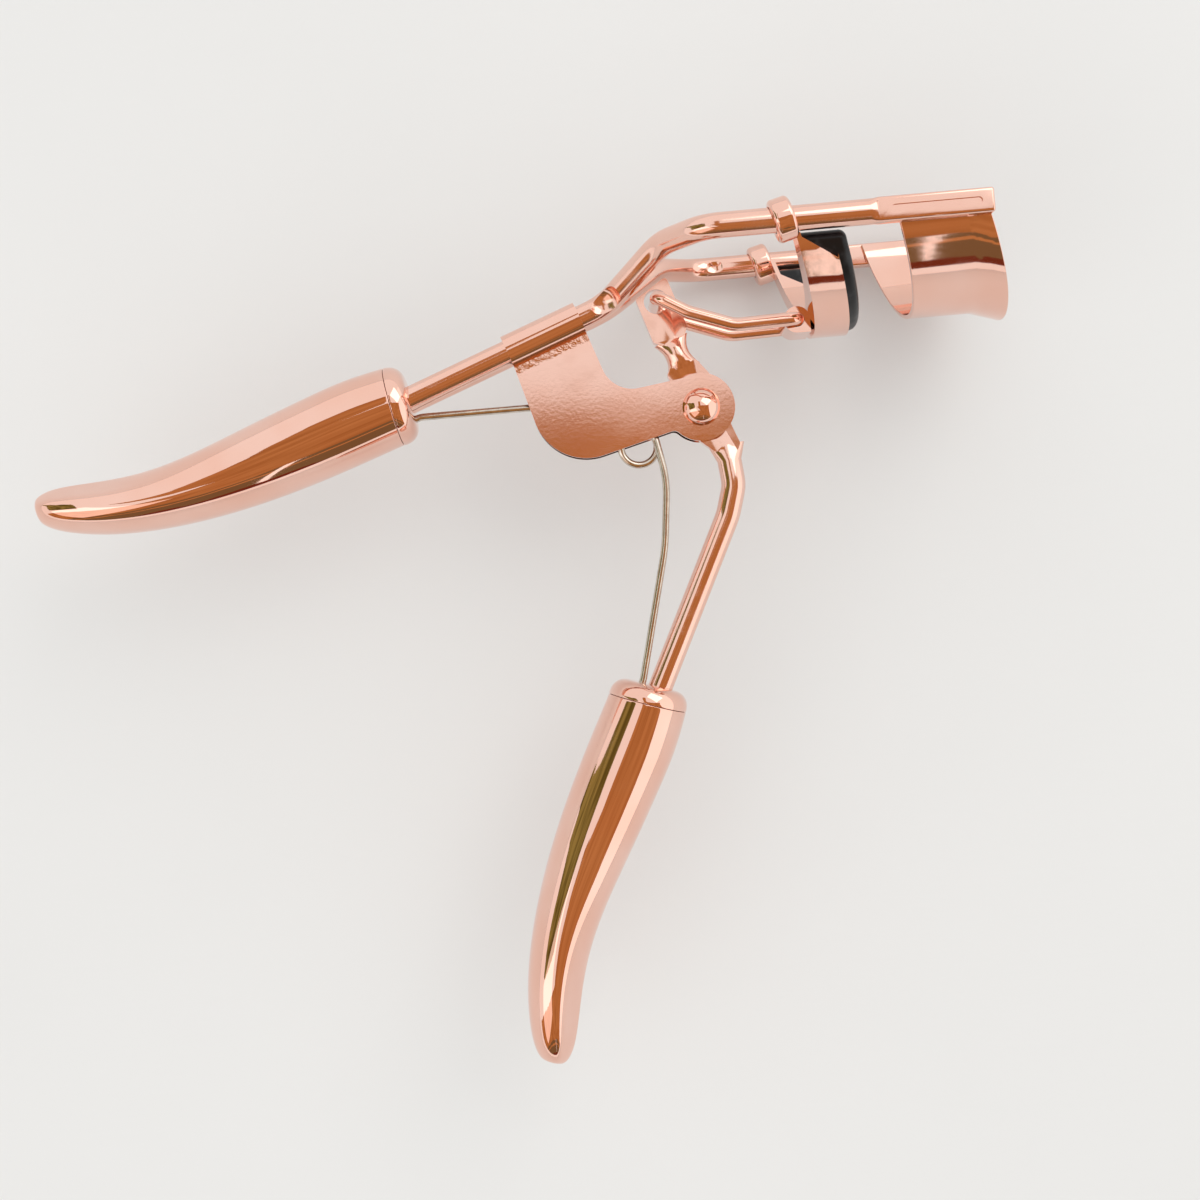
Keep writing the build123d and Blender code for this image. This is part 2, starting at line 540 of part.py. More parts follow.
# ---------------------------------------------------------------- placing and writing
boxes = [piece.part.bounding_box() for piece in pieces]
low = [min(getattr(box.min, axis) for box in boxes) for axis in "XYZ"]
high = [max(getattr(box.max, axis) for box in boxes) for axis in "XYZ"]
pivot_at = (-(low[0] + high[0]) / 2, -(low[1] + high[1]) / 2, -low[2])
print("pivot is at", [round(value, 4) for value in pivot_at])
print("size", [round(top - bottom, 2) for bottom, top in zip(low, high)])
print("lug is", round(lug_x, 4), round(lug_y, 4), "from the pivot")
os.makedirs("parts", exist_ok=True)
for piece in pieces:
    label = piece.part.label
    piece.part = piece.part.moved(Location(pivot_at))
    piece.part.label = label
    export_step(piece.part, f"parts/{label}.step")
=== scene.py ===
# %% [markdown]
# # A plated eyelash curler
# The curler lies on its side, open. Two wires run from the first grip through a folded
# bracket and become rails, the fixed jaw is welded to the rails, and a padded jaw slides
# along them when the handles close. The measured model is loaded first: every piece made
# here takes its place from it, and all but the spring ride on one of its bodies.

# %% Load the measured model
import json
from math import cos, pi, radians, sin, tan

import bmesh
import bpy
from mathutils import Matrix, Vector


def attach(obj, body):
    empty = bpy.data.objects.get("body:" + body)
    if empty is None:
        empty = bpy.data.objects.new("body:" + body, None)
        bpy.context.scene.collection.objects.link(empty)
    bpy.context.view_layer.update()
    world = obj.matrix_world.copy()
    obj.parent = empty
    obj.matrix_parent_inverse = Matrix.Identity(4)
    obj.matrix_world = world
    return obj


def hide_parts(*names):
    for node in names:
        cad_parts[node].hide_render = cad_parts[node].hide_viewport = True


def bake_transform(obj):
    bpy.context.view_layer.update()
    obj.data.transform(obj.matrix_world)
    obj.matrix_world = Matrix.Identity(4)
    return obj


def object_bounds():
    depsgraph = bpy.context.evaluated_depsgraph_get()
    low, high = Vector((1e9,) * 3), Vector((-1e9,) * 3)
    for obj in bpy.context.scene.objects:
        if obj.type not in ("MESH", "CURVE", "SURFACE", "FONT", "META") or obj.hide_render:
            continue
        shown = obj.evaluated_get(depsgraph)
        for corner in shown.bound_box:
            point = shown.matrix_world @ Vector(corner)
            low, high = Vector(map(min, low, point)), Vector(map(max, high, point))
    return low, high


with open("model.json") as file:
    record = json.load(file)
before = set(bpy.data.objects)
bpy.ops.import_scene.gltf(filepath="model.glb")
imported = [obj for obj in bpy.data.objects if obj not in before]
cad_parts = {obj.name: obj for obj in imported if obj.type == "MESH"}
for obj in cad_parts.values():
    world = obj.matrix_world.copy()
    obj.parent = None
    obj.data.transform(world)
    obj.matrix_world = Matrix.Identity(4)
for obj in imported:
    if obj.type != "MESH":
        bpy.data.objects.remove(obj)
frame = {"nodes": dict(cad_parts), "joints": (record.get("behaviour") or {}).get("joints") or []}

cad_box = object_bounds()
print("size in mm:", [round(side * 1000, 1) for side in cad_box[1] - cad_box[0]])

# %% [markdown]
# Lengths are easier to read in millimetres from the pivot rivet, which is where a maker
# would measure from. The place of the rivet is the joint that the handles turn on.

# %% Measure from the pivot
MM = 0.001
joints = {joint["name"]: joint for joint in frame["joints"]}
pivot = Vector(joints["lever_pivot"]["pos_m"])


def at(x, y, z=0.0):
    """A point given in millimetres from the pivot."""
    return pivot + Vector((x, y, z)) * MM


print("pivot:", [round(value * 1000, 2) for value in pivot])

# %% [markdown]
# ## Finishes
# The metal is steel plated in rose gold. A plated surface is a mirror whose own colour
# tints what it reflects, so it is fully metallic, with a warm base colour. What makes it
# look real is what breaks the mirror: a faint orange-peel swell left by polishing, cloudy
# changes of tone where the plating is thinner, and hairline scratches on the flat parts.

# %% A helper for node materials
def new_finish(name, metallic, roughness, colour):
    """A Principled material and its node tree, with the plain values on the sockets."""
    finish = bpy.data.materials.new(name)
    finish.use_nodes = True
    tree = finish.node_tree
    shader = tree.nodes["Principled BSDF"]
    shader.inputs["Metallic"].default_value = metallic
    shader.inputs["Roughness"].default_value = roughness
    shader.inputs["Base Color"].default_value = (*colour, 1)
    return finish, tree, shader


def noise_on_object(tree, scale, detail=3.0, stretch=(1, 1, 1)):
    """Noise in the object's own coordinates; stretch draws it out along an axis."""
    place = tree.nodes.new("ShaderNodeTexCoord")
    mapping = tree.nodes.new("ShaderNodeMapping")
    mapping.inputs["Scale"].default_value = stretch
    noise = tree.nodes.new("ShaderNodeTexNoise")
    noise.inputs["Scale"].default_value = scale
    noise.inputs["Detail"].default_value = detail
    tree.links.new(place.outputs["Object"], mapping.inputs["Vector"])
    tree.links.new(mapping.outputs["Vector"], noise.inputs["Vector"])
    return noise.outputs["Fac"]


def ramp(tree, source, stops):
    """A colour ramp with (position, colour) stops."""
    node = tree.nodes.new("ShaderNodeValToRGB")
    elements = node.color_ramp.elements
    while len(elements) < len(stops):
        elements.new(0.5)
    for element, (position, colour) in zip(elements, stops):
        element.position = position
        element.color = (*colour, 1)
    tree.links.new(source, node.inputs["Fac"])
    return node.outputs["Color"]


def bump(tree, height, distance, strength, after=None):
    """A bump of the given height in metres, added after another bump if there is one."""
    node = tree.nodes.new("ShaderNodeBump")
    node.inputs["Distance"].default_value = distance
    node.inputs["Strength"].default_value = strength
    tree.links.new(height, node.inputs["Height"])
    if after is not None:
        tree.links.new(after, node.inputs["Normal"])
    return node.outputs["Normal"]


# %% [markdown]
# One recipe serves all the plated pieces, and three numbers set them apart: how rough the
# mirror is, how strong the orange peel is, and how much it is scratched. The grips are
# plated plastic and almost perfect mirrors. The bracket is pressed sheet, so it is duller.

# %% Rose-gold plating
ROSE_LIGHT = (0.915, 0.592, 0.495)
ROSE_DEEP = (0.895, 0.545, 0.440)


def plating(name, roughness, peel, grain, scratches):
    """Rose-gold plate: peel and grain are bump strengths, scratches is added roughness."""
    finish, tree, shader = new_finish(name, 1.0, roughness, ROSE_LIGHT)
    clouds = noise_on_object(tree, 140, detail=2)
    colour = ramp(tree, clouds, [(0.35, ROSE_DEEP), (0.65, ROSE_LIGHT)])
    tree.links.new(colour, shader.inputs["Base Color"])
    hairlines = noise_on_object(tree, 260, detail=6, stretch=(1.0, 1.6, 1.0))
    worn = ramp(tree, hairlines, [(0.50, (roughness,) * 3), (0.72, (roughness + scratches,) * 3)])
    tree.links.new(worn, shader.inputs["Roughness"])
    swell = bump(tree, noise_on_object(tree, 420, detail=1), 0.00003, peel)
    fine = bump(tree, noise_on_object(tree, 2600, detail=4), 0.000004, grain, after=swell)
    tree.links.new(fine, shader.inputs["Normal"])
    return finish, tree, shader, fine


mirror_plating = plating("rose gold on moulded grips", 0.03, 0.06, 0.05, 0.04)[0]
wire_plating = plating("rose gold on wire", 0.10, 0.25, 0.25, 0.10)[0]
jaw_plating = plating("rose gold on the curved jaw", 0.06, 0.12, 0.12, 0.06)[0]
sheet_plating, tree, shader, fine = plating("rose gold on pressed sheet", 0.07, 0.03, 0.4, 0.03)
print("plated finishes:", len(bpy.data.materials))

# %% [markdown]
# Where the bracket's sheet is folded off its barrel, the metal has stretched, and the
# plating sparkles along the fold. A second mapping turns the coordinates to lie along the
# barrel, so that a ramp across it can keep the rough grain to one narrow band.

# %% A grainy fold on the bracket
WIRE_SLOPE = radians(20.3)
FOLD_AT = at(-16.7, 9.38)
FOLD_DEPTH = 0.0022
FOLD_BAND = 0.0012
place = tree.nodes.new("ShaderNodeTexCoord")
along_fold = tree.nodes.new("ShaderNodeMapping")
along_fold.vector_type = "TEXTURE"
along_fold.inputs["Location"].default_value = FOLD_AT
along_fold.inputs["Rotation"].default_value = (0, 0, WIRE_SLOPE)
tree.links.new(place.outputs["Object"], along_fold.inputs["Vector"])
across = tree.nodes.new("ShaderNodeSeparateXYZ")
tree.links.new(along_fold.outputs["Vector"], across.inputs["Vector"])
band = tree.nodes.new("ShaderNodeMapRange")
band.inputs["From Min"].default_value = -FOLD_DEPTH - FOLD_BAND / 2
band.inputs["From Max"].default_value = -FOLD_DEPTH + FOLD_BAND / 2
tree.links.new(across.outputs["Y"], band.inputs["Value"])
narrow = ramp(tree, band.outputs["Result"], [(0.0, (0,) * 3), (0.35, (1,) * 3),
                                             (0.65, (1,) * 3), (1.0, (0,) * 3)])
sparkle = tree.nodes.new("ShaderNodeBump")
sparkle.inputs["Distance"].default_value = 0.00008
tree.links.new(narrow, sparkle.inputs["Strength"])
tree.links.new(noise_on_object(tree, 2400, detail=2), sparkle.inputs["Height"])
tree.links.new(fine, sparkle.inputs["Normal"])
tree.links.new(sparkle.outputs["Normal"], shader.inputs["Normal"])
print("fold band in mm:", FOLD_BAND * 1000)

# %% [markdown]
# The spring is bare drawn wire, grey-brown and dull, with lines along its length. The pad
# is moulded silicone: nearly black, satin, with a dusting of paler marks on top.

# %% Spring steel and silicone
spring_steel, tree, shader = new_finish("drawn spring wire", 1.0, 0.16, (0.60, 0.54, 0.46))
drawn = noise_on_object(tree, 900, detail=3)
tree.links.new(ramp(tree, drawn, [(0.3, (0.52, 0.46, 0.39)), (0.7, (0.70, 0.64, 0.56))]),
               shader.inputs["Base Color"])
tree.links.new(bump(tree, drawn, 0.00001, 0.15), shader.inputs["Normal"])

silicone, tree, shader = new_finish("black silicone", 0.0, 0.38, (0.008, 0.008, 0.009))
dust = noise_on_object(tree, 700, detail=6)
tree.links.new(ramp(tree, dust, [(0.5, (0.006, 0.006, 0.007)), (0.8, (0.045, 0.047, 0.050))]),
               shader.inputs["Base Color"])
tree.links.new(ramp(tree, dust, [(0.4, (0.30,) * 3), (0.75, (0.55,) * 3)]),
               shader.inputs["Roughness"])
tree.links.new(bump(tree, noise_on_object(tree, 3500), 0.00002, 0.3), shader.inputs["Normal"])
shader.inputs["Specular IOR Level"].default_value = 0.3

# %% [markdown]
# ## Helpers for pieces
# A finished piece is a mesh with its place in its points, one finish, and a body to ride
# on. Curved shapes are shaded smooth, and edges sharper than 35 degrees stay crisp.

# %% Finish a piece
SHARP = radians(35)


def make_piece(name, mesh, finish, body, replaced):
    """Links a mesh into the scene as a piece that rides on a body."""
    mesh.materials.clear()
    mesh.materials.append(finish)
    piece = bpy.data.objects.new(name, mesh)
    bpy.context.scene.collection.objects.link(piece)
    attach(piece, body)
    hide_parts(replaced)
    return piece


def mesh_from(shape, name):
    """Writes a bmesh out as a mesh, with outward normals and sharp edges kept."""
    bmesh.ops.remove_doubles(shape, verts=shape.verts, dist=1e-7)
    bmesh.ops.recalc_face_normals(shape, faces=shape.faces)
    for face in shape.faces:
        face.smooth = True
    for edge in shape.edges:
        edge.smooth = len(edge.link_faces) != 2 or edge.calc_face_angle(0) < SHARP
    mesh = bpy.data.meshes.new(name)
    shape.to_mesh(mesh)
    shape.free()
    return mesh


def soften(piece, width):
    """Rounds every sharp edge with a small bevel."""
    edges = piece.modifiers.new("rounded edges", "BEVEL")
    edges.width = width
    edges.segments = 2
    edges.limit_method = "ANGLE"
    edges.angle_limit = SHARP
    return piece


def subdivide(piece, levels):
    """Smooths a piece by subdivision."""
    smoothing = piece.modifiers.new("smooth skin", "SUBSURF")
    smoothing.levels = levels
    smoothing.render_levels = levels
    return piece


# %% [markdown]
# Some pressed and forged pieces already have the right shape in the measured model, but
# their meshes are loose triangles that would shine as flat facets. A copy is merged and
# shaded smooth, and its edges are rounded, because plating never leaves a knife edge.

# %% Copy the pressed and forged pieces with a smooth skin
MERGE = 2e-7
FLAT = radians(0.3)


def smooth_copy(name, node, finish, body, slot, edge_width):
    """A merged copy of a measured piece, with rounded edges of a width in millimetres."""
    shape = bmesh.new()
    shape.from_mesh(frame["nodes"][node].data)
    bmesh.ops.remove_doubles(shape, verts=shape.verts, dist=MERGE)
    bmesh.ops.dissolve_limit(shape, angle_limit=FLAT, verts=shape.verts, edges=shape.edges)
    piece = make_piece(name, mesh_from(shape, name), finish, body, node)
    return soften(piece, edge_width * MM)


# Name, measured node, finish, body, slot and the width of the rounded edges.
COPIES = [
    ("bracket_plate", "bracket", sheet_plating, "frame", "plated_steel", 0.12),
    ("forged_lever", "lever_wire", wire_plating, "lever", "plated_steel", 0.22),
    ("jaw_holder", "lower_jaw", jaw_plating, "lower_jaw", "plated_steel", 0.11),
    ("rail_upper", "frame_wire_upper", wire_plating, "frame", "plated_steel", 0.18),
    ("rail_lower", "frame_wire_lower", wire_plating, "frame", "plated_steel", 0.18),
    ("link_wire", "link", wire_plating, "link", "plated_steel", 0.15),
    ("rivet", "pivot_rivet", mirror_plating, "frame", "plated_steel", 0.12),
    ("jaw_plate", "upper_jaw", jaw_plating, "frame", "plated_steel", 0.09),
    ("pad", "lash_pad", silicone, "lower_jaw", "pad_rubber", 0.3),
]
for copy in COPIES:
    smooth_copy(*copy)
print("smooth copies:", len(COPIES))

# %% [markdown]
# ## Grips
# Each grip is a moulded S-curve: full near its mouth, thinner towards the tip, and turned
# outwards at the end. It is drawn as a row of oval rings along a straight line, each
# pushed to one side, and the skin between them is smoothed by subdivision. Extruding one
# ring into the next keeps the faces in neat rows, so the mirror finish has no dents.

# %% Grip sections
# Distance from the mouth, outer reach, inner reach and half width, in millimetres, and
# how far the outer side is pinched to a flat slope, from 0 to 1.
GRIP_START = 2.05
GRIP_STATIONS = [
    (6.5, 4.35, 5.10, 5.30, 0.0),
    (11.0, 3.60, 5.75, 5.35, 0.0),
    (16.0, 2.70, 6.30, 5.35, 0.0),
    (21.0, 1.70, 6.60, 5.30, 0.0),
    (26.0, 0.75, 6.60, 5.15, 0.1),
    (31.0, 0.35, 6.25, 4.95, 0.55),
    (35.5, 0.70, 5.50, 4.60, 0.95),
    (39.0, 1.20, 4.45, 4.05, 1.0),
    (41.5, 1.35, 3.40, 3.15, 0.8),
    (43.0, 0.90, 2.30, 1.80, 0.3),
    (43.25, 0.35, 1.60, 1.00, 0.0),
]
MOUTH_HALF = (4.425, 5.25)
RIDGE = 0.4


def grip_frame(mouth, turn, side):
    """Local X points outwards, Y across the curler and Z along the grip to its tip."""
    way = Vector((cos(radians(turn)), sin(radians(turn)), 0))
    out = Vector((-way.y, way.x, 0)) * side
    across = way.cross(out)
    return Matrix.Translation(at(*mouth)) @ Matrix((
        (out.x, across.x, way.x, 0), (out.y, across.y, way.y, 0),
        (out.z, across.z, way.z, 0), (0, 0, 0, 1)))


def ring_matrix(local, distance, outer, inner, half_width):
    """Places and stretches a unit circle as the oval at one station."""
    return (local @ Matrix.Translation(Vector(((outer - inner) / 2, 0, distance)) * MM)
            @ Matrix.Diagonal(((outer + inner) / 2 * MM, half_width * MM, MM, 1)))


def loft_rings(shape, matrices, segments=40):
    """Extrudes a circle from each placing to the next, closes the last, returns the rings."""
    bmesh.ops.create_circle(shape, cap_ends=False, radius=1, segments=segments)
    bmesh.ops.transform(shape, matrix=matrices[0], verts=shape.verts)
    ring = list(shape.edges)
    rings = [list(shape.verts)]
    for before, after in zip(matrices, matrices[1:]):
        made = bmesh.ops.extrude_edge_only(shape, edges=ring)["geom"]
        points = [item for item in made if isinstance(item, bmesh.types.BMVert)]
        ring = [item for item in made if isinstance(item, bmesh.types.BMEdge)
                and all(vert in points for vert in item.verts)]
        bmesh.ops.transform(shape, matrix=after @ before.inverted(), verts=points)
        rings.append(points)
    bmesh.ops.contextual_create(shape, geom=ring)
    return rings


def pinch(points, matrix, amount):
    """Flattens the outer side of one ring into two slopes that meet at its edge."""
    flat_top = (1 - RIDGE**2)**0.5
    back = matrix.inverted()
    for point in points:
        place = back @ point.co
        if place.x > RIDGE:
            slope = flat_top * (1 - place.x) / (1 - RIDGE)
            if place.y <= 0:
                slope = -slope
            place.y += (slope - place.y) * amount
            point.co = matrix @ place


# %% Mould the two grips and their caps
CAP_ROUND = 1.7
CAP_STEPS = 4
CAP_HOLLOW = 1.0
SEAM = 0.05
LIP = 0.4
THIN = 0.01
grips = (
    ("frame_grip", "frame", (-31.898, 3.506), 190.4, -1),
    ("lever_grip", "lever", (-8.101, -30.093), -109.0, 1),
)
for node, body, mouth, turn, side in grips:
    local = grip_frame(mouth, turn, side)
    # The mouth is drawn in a little at the seam, where the cap meets the grip.
    stations = [(GRIP_START + distance, MOUTH_HALF[0] - pull, MOUTH_HALF[0] - pull,
                 MOUTH_HALF[1] - pull, 0.0)
                for distance, pull in ((0, LIP), (THIN, SEAM), (SEAM, 0), (4 * SEAM, 0))]
    stations += GRIP_STATIONS
    matrices = [ring_matrix(local, *station[:4]) for station in stations]
    shape = bmesh.new()
    for points, matrix, station in zip(loft_rings(shape, matrices), matrices, stations):
        pinch(points, matrix, station[4])
    grip = make_piece(node + "_body", mesh_from(shape, node), mirror_plating, body,
                      node)
    subdivide(grip, 2)

    # The cap is a shallow dome: its rings follow a quarter circle over the shoulder.
    rings = [(0.0, CAP_ROUND + CAP_HOLLOW)]
    for step in range(CAP_STEPS + 1):
        lean = radians(90) * step / CAP_STEPS
        rings.append((CAP_ROUND * (1 - cos(lean)), CAP_ROUND * (1 - sin(lean))))
    rings += [(GRIP_START - 4 * SEAM, 0), (GRIP_START - SEAM, 0),
              (GRIP_START - 2 * THIN, SEAM), (GRIP_START - THIN, LIP)]
    shape = bmesh.new()
    loft_rings(shape, [ring_matrix(local, distance, MOUTH_HALF[0] - pull, MOUTH_HALF[0] - pull,
                                   MOUTH_HALF[1] - pull) for distance, pull in reversed(rings)])
    cap = make_piece(node + "_end", mesh_from(shape, node + "_cap"), mirror_plating, body,
                     node + "_cap")
    subdivide(cap, 2)
    print(node, "is", round(GRIP_STATIONS[-1][0] - GRIP_START, 1), "mm long")

# %% [markdown]
# ## The spring
# The spring is one thin wire: a leg out of the first grip, a coil between the cheeks of
# the bracket, and a leg into the second grip. On the real curler it winds up as the handles
# close, but here it is one fixed mesh, left free of both bodies, so it does not bend.

# %% Bend the spring
COIL_CENTRE = (-7.19, -3.7)
COIL_RADIUS = 2.0
COIL_START = 74
COIL_TURN = 427
COIL_STEPS = 72
COIL_GAP = 0.05
SPRING_WIRE = 0.8
coil_rise = (SPRING_WIRE + COIL_GAP) * COIL_TURN / 360

# Corners of the two legs from the first grip to the second, and the radius of each bend.
LEG_IN = [(-35.373, -0.360), (-31.267, 1.799), (-17.6, 1.75)]
LEG_IN_BENDS = [2.5, 12.0]
LEG_OUT = [(-4.45, -7.6), (-5.3, -15.0), (-9.060, -29.614), (-11.652, -33.461)]
LEG_OUT_BENDS = [14.0, 24.0, 2.5]


def arc_corner(before, corner, after, radius, steps=8):
    """Points of a round bend that replaces a corner between two straight runs."""
    first = (before - corner).normalized()
    last = (after - corner).normalized()
    half = first.angle(last) / 2
    middle = corner + (first + last).normalized() * radius / sin(half)
    start = corner + first * radius / tan(half)
    swing = pi - 2 * half
    normal = (start - middle).cross(corner - middle).normalized()
    return [middle + Matrix.Rotation(swing * step / steps, 3, normal) @ (start - middle)
            for step in range(steps + 1)]


def rounded_route(points, radii):
    """A route of straight runs with a round bend of the given radius at each corner."""
    route = [points[0]]
    for before, corner, after, radius in zip(points, points[1:], points[2:], radii):
        route += arc_corner(before, corner, after, radius * MM)
    return route + [points[-1]]


def wire_mesh(name, route, diameter):
    """A round wire along a route, as a curve with a bevel that is then made a mesh."""
    curve = bpy.data.curves.new(name, "CURVE")
    curve.dimensions = "3D"
    curve.bevel_depth = diameter / 2 * MM
    curve.bevel_resolution = 5
    curve.use_fill_caps = True
    line = curve.splines.new("POLY")
    line.points.add(len(route) - 1)
    for point, place in zip(line.points, route):
        point.co = (*place, 1)
    holder = bpy.data.objects.new(name, curve)
    shape = bmesh.new()
    shape.from_mesh(bpy.data.meshes.new_from_object(holder))
    bpy.data.objects.remove(holder)
    return mesh_from(shape, name)


low = -coil_rise / 2
coil = []
for step in range(COIL_STEPS + 1):
    share = step / COIL_STEPS
    turn = radians(COIL_START - COIL_TURN * share)
    coil.append(at(COIL_CENTRE[0] + COIL_RADIUS * cos(turn),
                   COIL_CENTRE[1] + COIL_RADIUS * sin(turn), low + coil_rise * share))
leg_in = rounded_route([at(*point, low) for point in LEG_IN] + [coil[0]], LEG_IN_BENDS)
leg_out = rounded_route([coil[-1]] + [at(*point, -low) for point in LEG_OUT], LEG_OUT_BENDS)
spring = make_piece("wound_spring", wire_mesh("spring", leg_in[:-1] + coil + leg_out[1:],
                                              SPRING_WIRE),
                    spring_steel, "frame", "spring")
spring.parent = None
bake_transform(spring)
print("spring points:", len(leg_in) + len(coil) + len(leg_out) - 2)

# %% [markdown]
# ## Stage
# The curler lies on a white painted board. The board is a plain pale plane with a faint
# grain, and it isn't part of the curler.

# %% The board under the curler
BOARD_HALF = 4
BOARD_GAP = 0.0003
board_finish, tree, shader = new_finish("painted board", 0.0, 0.6, (0.775, 0.772, 0.758))
paint = noise_on_object(tree, 9, detail=5)
tree.links.new(ramp(tree, paint, [(0.3, (0.762, 0.760, 0.746)), (0.7, (0.790, 0.788, 0.774))]),
               shader.inputs["Base Color"])
tree.links.new(bump(tree, noise_on_object(tree, 60, detail=6, stretch=(0.3, 3, 1)), 0.0004, 0.15),
               shader.inputs["Normal"])
shape = bmesh.new()
bmesh.ops.create_grid(shape, x_segments=1, y_segments=1, size=BOARD_HALF)
board = bpy.data.objects.new("board", mesh_from(shape, "board"))
board.data.materials.append(board_finish)
board.location.z = cad_box[0].z - BOARD_GAP
bpy.context.scene.collection.objects.link(board)
print("board is", 2 * BOARD_HALF, "m wide")

# %% [markdown]
# ## Light
# A mirror shows the room, so the room is most of the look. It is drawn here by direction:
# right, far and up, each from -1 to 1. The window side and the walls are bright and give
# the pale pink parts. Overhead and towards the near side there is a warm copper patch with
# a brown shelf across it, and on the left an olive strip, which gives each grip its
# coloured bands. A little noise in the directions keeps the borders from being too neat.

# %% The room that the mirrors show
WALL = (1.0, 0.99, 0.975)
COPPER = (0.52, 0.245, 0.085)
COPPER_DEEP = (0.40, 0.17, 0.05)
SHELF = (0.20, 0.125, 0.055)
SHELF_EDGE = (0.17, 0.035, 0.015)
GLARE = (1.25, 1.22, 1.18)
OLIVE = (0.30, 0.265, 0.075)
OLIVE_DEEP = (0.12, 0.10, 0.02)

# Where the patches begin and end, as right, far or up.
WINDOW_CORNER = (-0.08, 0.092)
LEFT_CORNER = (-0.26, 0.03)
LEFT_WALL = -0.40
LEFT_WALL_SLANT = 0.8
LEFT_WALL_NEAR = -0.35
RIGHT_WALL = 0.66
FAR_WALL = 0.48
WALLS_TOP = 0.12
SHELF_BAND = (-0.970, -0.775)
STREAK_BAND = (-0.847, -0.823)
GLARE_BAND = (0.114, 0.134)
STRIP_RIGHT = (-0.95, -0.59)
STRIP_FAR = (-0.13, 0.39)
WAVE_SCALE = 7.0
WAVE_HEIGHT = 0.07
world = bpy.data.worlds.new("bright room")
bpy.context.scene.world = world
world.use_nodes = True
tree = world.node_tree
direction = tree.nodes.new("ShaderNodeTexCoord").outputs["Generated"]


def combine(operation, *values):
    """One Math node; each input is a socket or a number."""
    node = tree.nodes.new("ShaderNodeMath")
    node.operation = operation
    for socket, value in zip(node.inputs, values):
        if isinstance(value, (int, float)):
            socket.default_value = value
        else:
            tree.links.new(value, socket)
    return node.outputs["Value"]


def largest(*values):
    """The largest of several values."""
    result = values[0]
    for value in values[1:]:
        result = combine("MAXIMUM", result, value)
    return result


def below(value, limit):
    """More than 0 below the limit."""
    return combine("SUBTRACT", limit, value)


def above(value, limit):
    """More than 0 above the limit."""
    return combine("SUBTRACT", value, limit)


def between(value, low, high):
    """A mask that is 1 between two limits."""
    return combine("COMPARE", value, (low + high) / 2, (high - low) / 2)


def painted(under, mask, colour):
    """Lays a colour over another where the mask is 1."""
    node = tree.nodes.new("ShaderNodeMix")
    node.data_type = "RGBA"
    tree.links.new(mask, node.inputs["Factor"])
    tree.links.new(under, node.inputs[6])
    if isinstance(colour, tuple):
        node.inputs[7].default_value = (*colour, 1)
    else:
        tree.links.new(colour, node.inputs[7])
    return node.outputs[2]


axes = tree.nodes.new("ShaderNodeSeparateXYZ")
tree.links.new(direction, axes.inputs["Vector"])
waves = tree.nodes.new("ShaderNodeTexNoise")
waves.inputs["Scale"].default_value = WAVE_SCALE
waves.inputs["Detail"].default_value = 3.0
tree.links.new(direction, waves.inputs["Vector"])
wave = combine("MULTIPLY", above(waves.outputs["Fac"], 0.5), WAVE_HEIGHT)
right = combine("ADD", axes.outputs["X"], wave)
far = combine("ADD", axes.outputs["Y"], wave)
window_side = combine("MINIMUM", above(right, WINDOW_CORNER[0]), above(far, WINDOW_CORNER[1]))
slanted = combine("ADD", right, combine("MULTIPLY", far, LEFT_WALL_SLANT))
left_wall = combine("MINIMUM", below(slanted, LEFT_WALL), above(far, LEFT_WALL_NEAR))
left_corner = combine("MINIMUM", below(right, LEFT_CORNER[0]), above(far, LEFT_CORNER[1]))
walls = largest(window_side, left_wall, left_corner, above(right, RIGHT_WALL),
                above(far, FAR_WALL), below(axes.outputs["Z"], WALLS_TOP))
shelf = between(far, *SHELF_BAND)
shelf_edge = combine("LESS_THAN", far, SHELF_BAND[0])
streak = between(far, *STREAK_BAND)
glare = combine("MAXIMUM", combine("GREATER_THAN", right, RIGHT_WALL),
                combine("MULTIPLY", shelf, between(axes.outputs["X"], *GLARE_BAND)))
strip = combine("MULTIPLY", between(right, *STRIP_RIGHT), between(far, *STRIP_FAR))
room = ramp(tree, waves.outputs["Fac"], [(0.35, COPPER_DEEP), (0.62, COPPER)])
room = painted(room, shelf, SHELF)
room = painted(room, streak, COPPER)
room = painted(room, shelf_edge, SHELF_EDGE)
room = painted(room, combine("GREATER_THAN", walls, 0), WALL)
room = painted(room, glare, GLARE)
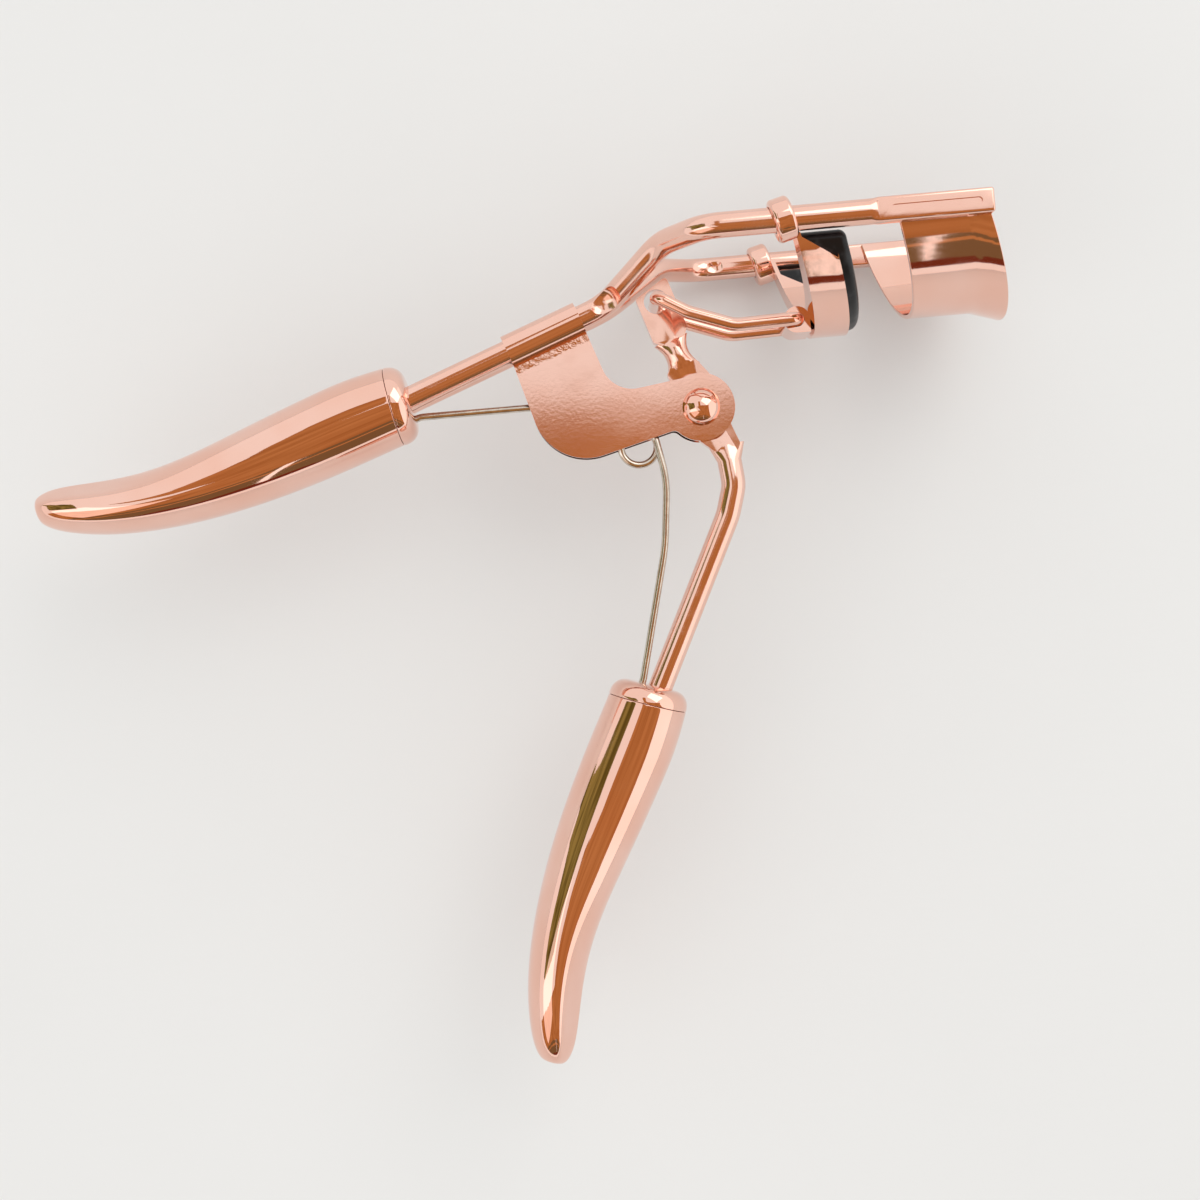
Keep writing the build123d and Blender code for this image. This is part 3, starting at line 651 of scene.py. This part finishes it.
olive = ramp(tree, waves.outputs["Fac"], [(0.40, OLIVE_DEEP), (0.60, OLIVE)])
room = painted(room, strip, olive)

# %% [markdown]
# Only mirrors should see that picture. The board gathers light from everywhere, and a
# plain pale room lights it without a colour cast. The Light Path node tells the two kinds
# of ray apart.

# %% Plain light for everything that is not a mirror
PLAIN = (0.92, 0.92, 0.92)
path = tree.nodes.new("ShaderNodeLightPath")
not_mirrored = combine("SUBTRACT", 1, path.outputs["Is Glossy Ray"])
tree.links.new(painted(room, not_mirrored, PLAIN), tree.nodes["Background"].inputs["Color"])
print("room nodes:", len(tree.nodes))

# %% [markdown]
# Two large soft lights shape it: a window high on the right, which throws the soft shadow
# down to the left, and a weaker one from the near side.

# %% Two soft lights
def soft_light(name, place, size, power, colour):
    """A square soft light at a place in metres from the pivot, facing the pivot."""
    light = bpy.data.lights.new(name, "AREA")
    light.size = size
    light.energy = power
    light.color = colour
    holder = bpy.data.objects.new(name, light)
    holder.location = pivot + Vector(place)
    holder.rotation_euler = (-Vector(place)).to_track_quat("-Z", "Y").to_euler()
    bpy.context.scene.collection.objects.link(holder)


soft_light("window", (0.35, 0.40, 0.55), 0.55, 1.1, (1.0, 0.98, 0.95))
soft_light("near side", (-0.45, -0.3, 0.45), 0.5, 0.5, (1.0, 0.98, 0.96))
print("soft lights:", len(bpy.data.lights))

# %% [markdown]
# ## Camera
# The camera looks straight down on the mechanism from about 22 cm, and is turned a few
# degrees, so the rails climb gently to the right.

# %% Place the camera
CAMERA_PLACE = (-13.01, -20.23, 225.0)
CAMERA_TURN = radians(-5.1)
CAMERA_LENS = 60.81
camera = bpy.data.cameras.new("camera")
camera.sensor_width = 36
camera.lens = CAMERA_LENS
holder = bpy.data.objects.new("camera", camera)
holder.location = at(*CAMERA_PLACE)
holder.rotation_euler = (0, 0, CAMERA_TURN)
bpy.context.scene.collection.objects.link(holder)
bpy.context.scene.camera = holder
bpy.context.scene.view_settings.view_transform = "Standard"
print("camera height in mm:", CAMERA_PLACE[2])
